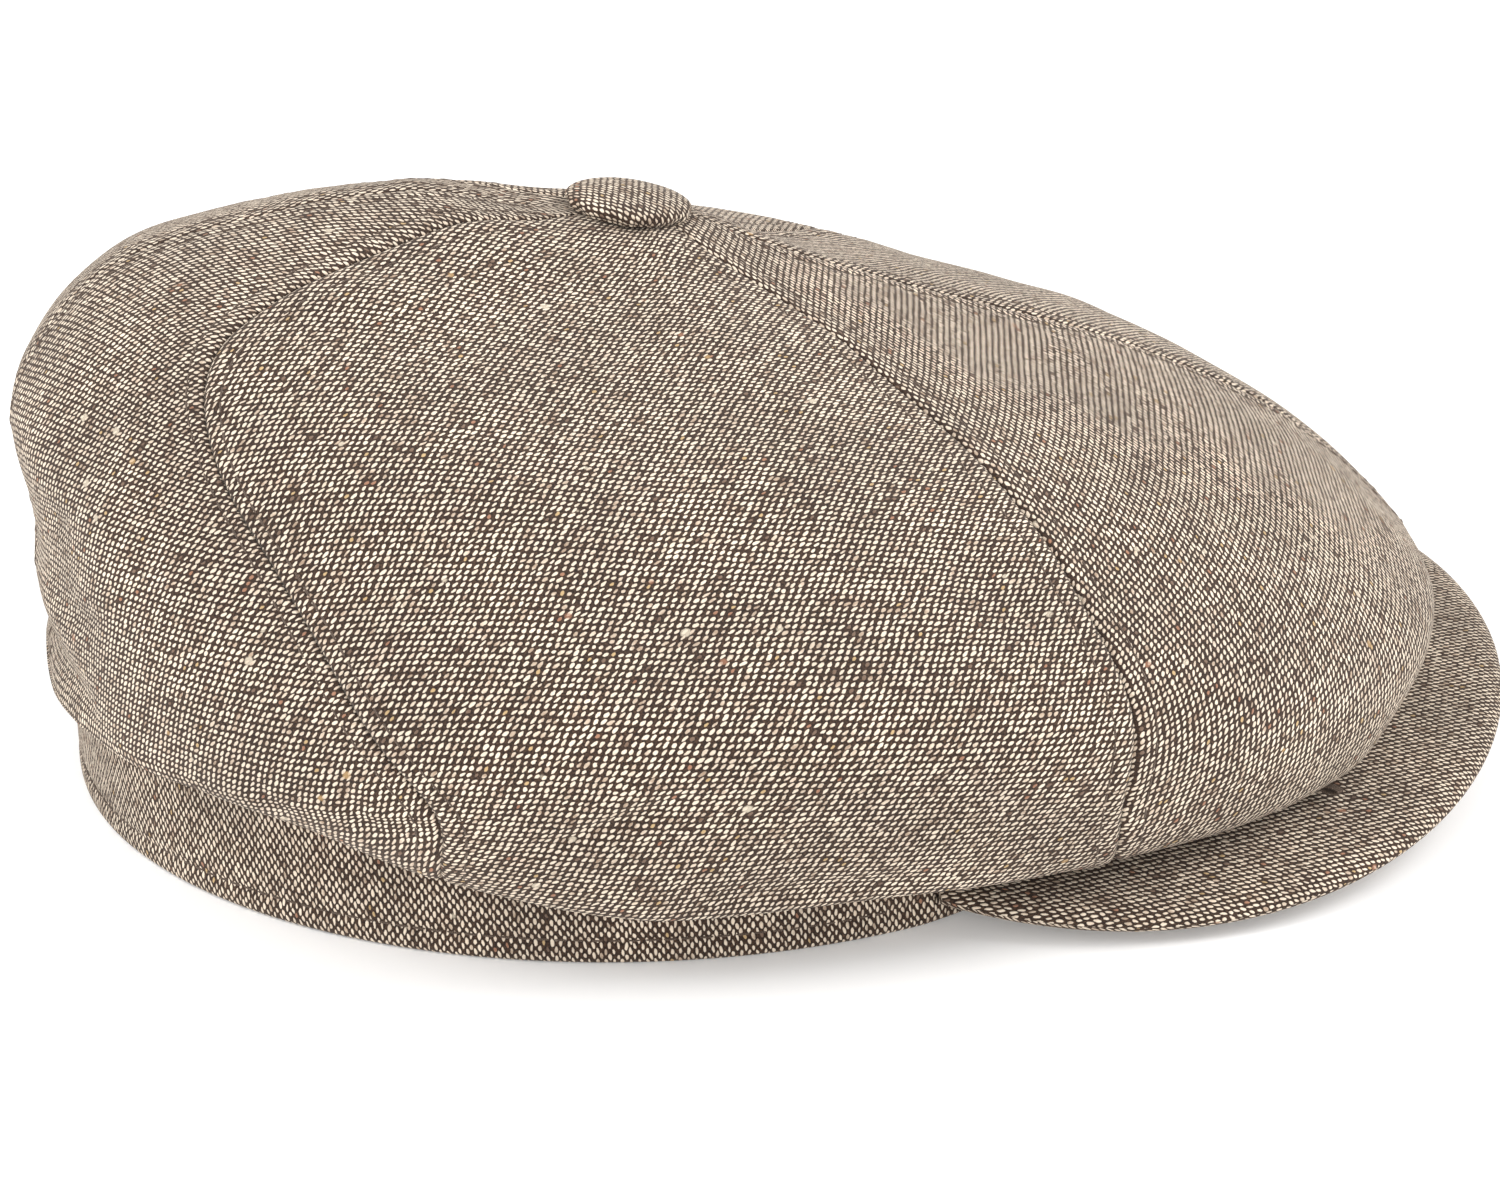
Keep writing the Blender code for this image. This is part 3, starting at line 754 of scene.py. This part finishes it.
def make_crown(tweed, thread):
    centre = world(*INSIDE)
    for side_name, side in SIDES:
        for order, (panel, seams, grain_right) in enumerate(PANELS):
            grid, level, distance, width = crown_grid(seams, side)
            out = normals(grid, centre)
            grain = grain_right if side > 0 else 180.0 + 2 * ROWS_FROM_WARP - grain_right
            uv = panel_map(grid, side, grain, (97.0 * order, 53.0 * side))
            name = f"crown_{panel}_{side_name}"
            obj = slab(name, grid, grid - CLOTH * soften(out, 5), uv, tweed)
            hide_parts(f"crown_panel_{panel}_{side_name}")
            inset = np.minimum(STITCH_OUT, 0.28 * width[:, 0])
            rows = (("fore", inset, seams[0]), ("aft", width[:, 0] - inset, seams[1]))
            for edge, value, seam in rows:
                lowest = STITCH_LOW_BACK if seam == BACK_CENTRE else STITCH_LOW
                keep = (level > lowest) & (level < STITCH_HIGH)
                path, face = line_at(grid, out, distance, value)
                row = stitch_row(f"stitches_{panel}_{side_name}_{edge}", path[keep], face[keep], thread)
                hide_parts(f"topstitch_{panel}_{side_name}_{edge}")


def make_lining(satin):
    for side_name, side in SIDES:
        for order, (panel, seams, _) in enumerate(PANELS):
            level = even_levels(LINING, 1.2, 110)
            start, end = (seam_angle(seam, LINING, level)[:, None] for seam in seams)
            share = np.linspace(0.004, 0.996, 80)[None]
            grid = shell(LINING, level[:, None], side * (start + (end - start) * share))
            out = normals(grid, world(*INSIDE))
            distance = run(grid, 1)
            edge = np.minimum(distance, distance[:, -1:] - distance)
            ripple = rough(grid * np.array([1.0, 1.0, 0.35]), 9 * MM, 4.0)
            height = -0.8 * MM + 0.7 * MM * ripple - 0.5 * MM * (1 - ease(edge, 0, 2 * MM))
            height = height * ease(level, 0.0, 0.5)[:, None]
            grid = grid + height[..., None] * out
            uv = panel_map(grid, side, 0.0, (31.0 * order, 17.0 * side))
            name = f"lining_{panel}_{side_name}"
            obj = slab(name, grid, grid - LINING_CLOTH * out, uv, satin)
            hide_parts(f"lining_panel_{panel}_{side_name}")


# ---------------------------------------------------------------- band


def opening_radius(angle, inset=0.0):
    front, side = OPENING_FRONT - inset, OPENING_SIDE - inset
    return 1 / np.hypot(np.cos(angle) / front, np.sin(angle) / side)


def band_bottom(angle):
    """The band's lower edge: flat on the table, and arched up over the visor's root."""
    end = opening_radius(VISOR_END) * math.sin(VISOR_END)
    right = opening_radius(angle) * np.sin(angle)
    return np.where(np.abs(angle) < VISOR_END, VISOR_ARCH * (end * end - right * right), 0.0)


def ring(angle, inset, up):
    r = opening_radius(angle, inset)
    return world(r * np.cos(angle), r * np.sin(angle), up)


def band_strip(inset, bottom_gap, top, columns=760, rows=46):
    """Grid of a wall round the opening, from its lower edge up, and the height on it."""
    angle = np.linspace(-math.pi + 0.0006, math.pi - 0.0006, columns)[None]
    low = band_bottom(angle) + bottom_gap
    share = np.linspace(0, 1, rows)[:, None]
    up = low + (top - low) * share
    return angle, up, ring(angle, inset + 0 * up, up)


def make_outer_band(tweed, thread):
    angle, up, grid = band_strip(0.0, 0.0, BAND_TOP)
    out = normals(grid, world(0.0, 0.0, 0.01))
    above = up - band_bottom(angle)
    roll = BAND_FOLD * (1 - np.sqrt(np.clip(1 - (1 - above / BAND_FOLD) ** 2, 0, 1)))
    roll = np.where(above < BAND_FOLD, 0.55 * roll, 0.0)
    groove = -0.22 * MM * np.exp(-(((above - BAND_STITCH_Z) / (0.7 * MM)) ** 2))
    puff = 0.12 * MM * ease(above, 0.5 * MM, 2 * MM) * (1 - ease(above, 3 * MM, 4 * MM))
    wave = 0.35 * MM * rough(grid, 22 * MM, 9.0) * ease(above, 0, 6 * MM)
    height = groove + puff - roll + wave * (1 - ease(up, 0.014, 0.020))
    outer = grid + height[..., None] * out
    inner = grid - (CLOTH - 0.5 * roll[..., None]) * out
    around = run(grid[grid.shape[0] // 2])[None] + 0 * up
    uv = cut_from_cloth(-around, above, BAND_GRAIN, (11.0, 7.0))
    obj = slab("band_outer", outer, inner, uv, tweed)
    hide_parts("outer_band")

    turn = np.linspace(BAND_STITCH_FROM, 2 * math.pi - BAND_STITCH_FROM, 900)
    path = ring(turn, 0.20 * MM + 0 * turn, BAND_STITCH_Z + 0 * turn)
    face = unit(path - world(0.0, 0.0, BAND_STITCH_Z))
    row = stitch_row("stitches_band", path, face, thread)
    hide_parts("topstitch_band")


def make_sweatband(grosgrain, thread):
    inset = CLOTH + 1.2 * MM
    angle, up, grid = band_strip(inset, LAYER_BOTTOM, BAND_TOP, rows=30)
    out = normals(grid, world(0.0, 0.0, 0.01))
    above = up - band_bottom(angle)
    wave = 0.10 * MM * rough(grid, 16 * MM, 3.0)
    edge = 0.15 * MM * (1 - ease(above, LAYER_BOTTOM, LAYER_BOTTOM + 1.0 * MM))
    outer = grid - edge[..., None] * out
    inner = grid - (1.0 * MM - edge + wave)[..., None] * out
    around = run(grid[grid.shape[0] // 2])[None] + 0 * up
    obj = slab("sweatband_ribbon", outer, inner, cut_from_cloth(around, above, 0, (0, 0)), grosgrain)
    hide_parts("sweatband")

    turn = np.linspace(-math.pi, math.pi, 1000)
    height = band_bottom(turn) + LAYER_BOTTOM + 2.2 * MM
    path = ring(turn, inset + 1.05 * MM + 0 * turn, height)
    face = unit(world(0.0, 0.0, height) - path)
    stitch_row("stitches_sweatband", path, face, thread, 3.4 * MM, 2.6 * MM)


# ---------------------------------------------------------------- visor


def visor_reach(angle):
    return VISOR_REACH * (1 - np.abs(angle / VISOR_END) ** VISOR_TAPER)


def visor_plan(columns=260, rows=72):
    """The visor in plan: points, distance to the front edge, and height of its top."""
    turn = np.linspace(-1, 1, columns)[None]
    angle = 0.985 * VISOR_END * np.sin(0.5 * math.pi * turn)
    inner = opening_radius(angle, -0.4 * MM)
    reach = np.maximum(visor_reach(angle) - 0.2 * MM, 0.5 * MM)
    share = np.sin(0.5 * math.pi * np.linspace(0, 1, rows)[:, None]) ** 0.8
    r = inner + reach * share
    forward, right = r * np.cos(angle), r * np.sin(angle)
    return forward, right, reach * (1 - share), VISOR_TOP - VISOR_ARCH * right * right


def visor_face(side, thickness_in):
    """One face of the visor: side 1 is the top and -1 the underside."""
    forward, right, to_edge, top = visor_plan()
    middle = top - VISOR_HALF
    near = np.clip(to_edge / VISOR_ROUND, 0, 1)
    half = VISOR_HALF * np.sqrt(1 - (1 - near) ** 2)
    flat = world(forward, right, middle)
    wave = 0.25 * MM * rough(flat, 24 * MM, 5.0) * ease(to_edge, 0, 8 * MM)
    outer = middle + side * np.maximum(half + 0.5 * side * wave, 0.05 * MM)
    inner = middle + side * np.maximum(half - thickness_in, 0.02 * MM)
    return world(forward, right, outer), world(forward, right, inner), flat


def make_visor(tweed):
    for name, node, side in (
        ("visor_top", "visor_top_cover", 1),
        ("visor_under", "visor_under_cover", -1),
    ):
        outer, inner, flat = visor_face(side, VISOR_COVER)
        away = unit((flat - world(0.0, 0.0, 0.0)) * np.array([1.0, 1.0, 0.0]))
        drop = VISOR_HALF - np.abs(outer - flat)[..., 2:]
        spread = flat + np.maximum(drop, 0.0) * away
        uv = cut_from_cloth(-side * spread[..., 0], -spread[..., 1], VISOR_GRAIN, (20.0, 40.0 * side))
        obj = slab(name, outer, inner, uv, tweed)
        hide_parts(node)


# ---------------------------------------------------------------- button and tacks


def button_profile(radius, height, skirt):
    """A puffy disc from the axis down round its edge: radii and heights."""
    turn = np.linspace(0, 0.5 * math.pi, 36)
    low = np.linspace(0, 0.5 * math.pi, 12)[1:]
    rim = 0.30 * height
    r = np.concatenate([radius * np.sin(turn), radius - 0.28 * radius * (1 - np.cos(low))])
    z = np.concatenate([
        rim + (height - rim) * np.cos(turn) ** 0.85, rim - (rim + skirt) * np.sin(low)
    ])
    return r[:, None], z[:, None]


def make_button(tweed):
    low, high = (np.array(corner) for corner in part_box("button_cover"))
    radius = 0.5 * (high - low)[0]
    base = 0.5 * (low + high)
    base[2] = low[2] + radius * math.sin(BUTTON_TILT)
    c, s = math.cos(BUTTON_TILT), math.sin(BUTTON_TILT)
    tilt = np.array([[1, 0, 0], [0, c, s], [0, -s, c]])
    r, z = button_profile(radius, BUTTON_HEIGHT, BUTTON_SKIRT)
    turn = np.linspace(0, 2 * math.pi, 121)[None]
    gather = np.sin(11 * turn) + 0.6 * np.sin(17 * turn + 1.0)
    pull = 0.24 * MM * gather * ease(r, 0.7 * radius, radius) * (1 - ease(z, 0, 0.5 * BUTTON_HEIGHT))
    form = np.stack([(r + pull) * np.cos(turn), (r + pull) * np.sin(turn), z + 0 * turn], axis=-1)
    form[..., 2] += 0.2 * MM * rough(form, 5 * MM, 1.0) * ease(radius - r, 0, 0.3 * radius)
    thick = 0.7 * MM
    inside = form * np.array([1 - thick / radius, 1 - thick / radius, 1.0])
    inside[..., 2] = np.maximum(inside[..., 2] - thick, -BUTTON_SKIRT + 0.2 * thick)
    along = run(form[:, 0])[:, None]
    uv = cut_from_cloth(along * np.cos(turn), along * np.sin(turn), 25.0, (300.0, 300.0))
    obj = slab("button_cloth", form @ tilt + base, inside @ tilt + base, uv, tweed)
    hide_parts("button_cover")


def make_tacks(thread):
    """A few turns of thread at each tack between the crown and the visor."""
    for side_name, _ in SIDES:
        low, high = (np.array(corner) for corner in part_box(f"visor_tack_{side_name}"))
        middle, size = 0.5 * (low + high), high - low
        t = np.linspace(0, 1, 160)
        wind = 2 * math.pi * TACK_TURNS * t
        reach = 0.5 * size * np.array([0.55, 0.55, 0.9])
        path = middle + np.stack(
            [reach[0] * np.cos(wind) + 0.2 * MM * (t - 0.5), reach[1] * np.cos(wind),
             reach[2] * np.sin(wind)], axis=-1)
        outward = unit(middle - world(0.05, 0.0, middle[2]))
        path = path + TACK_OUT * outward
        path = path + np.cross(outward, (0, 0, 1.0)) * (1.6 * MM * (t - 0.5))[:, None]
        obj = tube(f"tack_{side_name}", [path], TACK_THREAD, thread)
        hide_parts(f"visor_tack_{side_name}")


def tube(name, paths, radius, mat, sides=6):
    """Round threads along lists of points, joined as one piece."""
    points, faces, uv = [], [], []
    count = 0
    for number, path in enumerate(paths):
        along = unit(np.gradient(path, axis=0))
        aside = unit(np.cross(along, (0.31, 0.53, 0.79)))
        over = np.cross(along, aside)
        turn = 2 * np.pi * np.arange(sides) / sides
        ring_at = path[:, None] + radius * (
            np.cos(turn)[None, :, None] * aside[:, None] + np.sin(turn)[None, :, None] * over[:, None]
        )
        points.append(ring_at.reshape(-1, 3))
        length = run(path)[:, None] / MM
        map_both = np.broadcast_arrays(length, number + 0 * turn[None])
        uv.append(np.stack(map_both, -1).reshape(-1, 2))
        for i in range(len(path) - 1):
            for j in range(sides):
                k = (j + 1) % sides
                a, b = count + i * sides, count + (i + 1) * sides
                faces.append((a + j, a + k, b + k, b + j))
        faces.append(tuple(count + j for j in range(sides))[::-1])
        faces.append(tuple(count + (len(path) - 1) * sides + j for j in range(sides)))
        count += len(path) * sides
    return add_mesh(name, np.concatenate(points), faces, np.concatenate(uv), mat)


# ---------------------------------------------------------------- frame nodes that stay


def paint(node, mat):
    mesh = frame["nodes"][node].data
    mesh.materials.clear()
    mesh.materials.append(mat)


def paint_hidden():
    fleece = hidden_material("interfacing_fleece", (0.58, 0.56, 0.52), (0.74, 0.72, 0.68), 900, 0.95)
    board = hidden_material("visor_plastic", (0.60, 0.59, 0.56), (0.74, 0.73, 0.70), 400, 0.55)
    metal = hidden_material("button_metal", (0.42, 0.41, 0.40), (0.66, 0.65, 0.63), 500, 0.35, 1.0)
    paint("band_interfacing", fleece)
    paint("visor_board", board)
    paint("button_shell", metal)
    paint("button_back", metal)


# ---------------------------------------------------------------- studio

def towards(azimuth, height):
    """Unit vector from the object towards a viewer at these angles, in degrees."""
    azimuth, height = math.radians(azimuth), math.radians(height)
    return Vector(
        (
            math.sin(azimuth) * math.cos(height),
            -math.cos(azimuth) * math.cos(height),
            math.sin(height),
        )
    )


def look_at(obj, target):
    obj.rotation_euler = (target - obj.location).to_track_quat("-Z", "Y").to_euler()


def make_camera():
    data = bpy.data.cameras.new("camera")
    data.lens = CAMERA_LENS
    data.sensor_width = 36.0
    data.clip_start = 0.01
    camera = bpy.data.objects.new("camera", data)
    bpy.context.scene.collection.objects.link(camera)
    camera.location = CAMERA_TARGET + CAMERA_DISTANCE * towards(CAMERA_AZIMUTH, CAMERA_HEIGHT)
    look_at(camera, CAMERA_TARGET)
    bpy.context.scene.camera = camera


def make_light(name, azimuth, height, distance, size, power):
    data = bpy.data.lights.new(name, "AREA")
    data.size = size
    data.energy = power
    light = bpy.data.objects.new(name, data)
    bpy.context.scene.collection.objects.link(light)
    light.location = distance * towards(azimuth, height)
    look_at(light, Vector((0, 0, 0.03)))


def make_floor():
    mesh = bpy.data.meshes.new("floor")
    corners = [(-1, -1), (1, -1), (1, 1), (-1, 1)]
    mesh.from_pydata([(FLOOR_HALF * x, FLOOR_HALF * y, 0) for x, y in corners], [], [(0, 1, 2, 3)])
    floor = bpy.data.objects.new("floor", mesh)
    bpy.context.scene.collection.objects.link(floor)
    floor.location.z = CAD_BOX[0][2] - 0.0002
    mat = bpy.data.materials.new("floor")
    mat.use_nodes = True
    shader = mat.node_tree.nodes["Principled BSDF"]
    shader.inputs["Base Color"].default_value = (0.9, 0.9, 0.9, 1)
    shader.inputs["Roughness"].default_value = 0.9
    shader.inputs["Emission Color"].default_value = (1.0, 1.0, 1.0, 1)
    shader.inputs["Emission Strength"].default_value = FLOOR_GLOW
    mesh.materials.append(mat)


def make_studio():
    scene = bpy.context.scene
    scene.view_settings.view_transform = "Standard"
    world_data = bpy.data.worlds.new("studio")
    world_data.use_nodes = True
    sky = world_data.node_tree.nodes["Background"]
    sky.inputs["Color"].default_value = (1.0, 1.0, 1.0, 1.0)
    sky.inputs["Strength"].default_value = SKY
    scene.world = world_data
    for light in LIGHTS:
        make_light(*light)
    make_floor()
    make_camera()


def main():
    tweed = tweed_material()
    thread = thread_material("seam_thread", (0.055, 0.036, 0.026), (0.20, 0.14, 0.10))
    make_crown(tweed, thread)
    make_lining(satin_material())
    make_outer_band(tweed, thread)
    make_sweatband(grosgrain_material(), thread)
    make_visor(tweed)
    make_button(tweed)
    make_tacks(thread)
    paint_hidden()
    make_studio()


main()
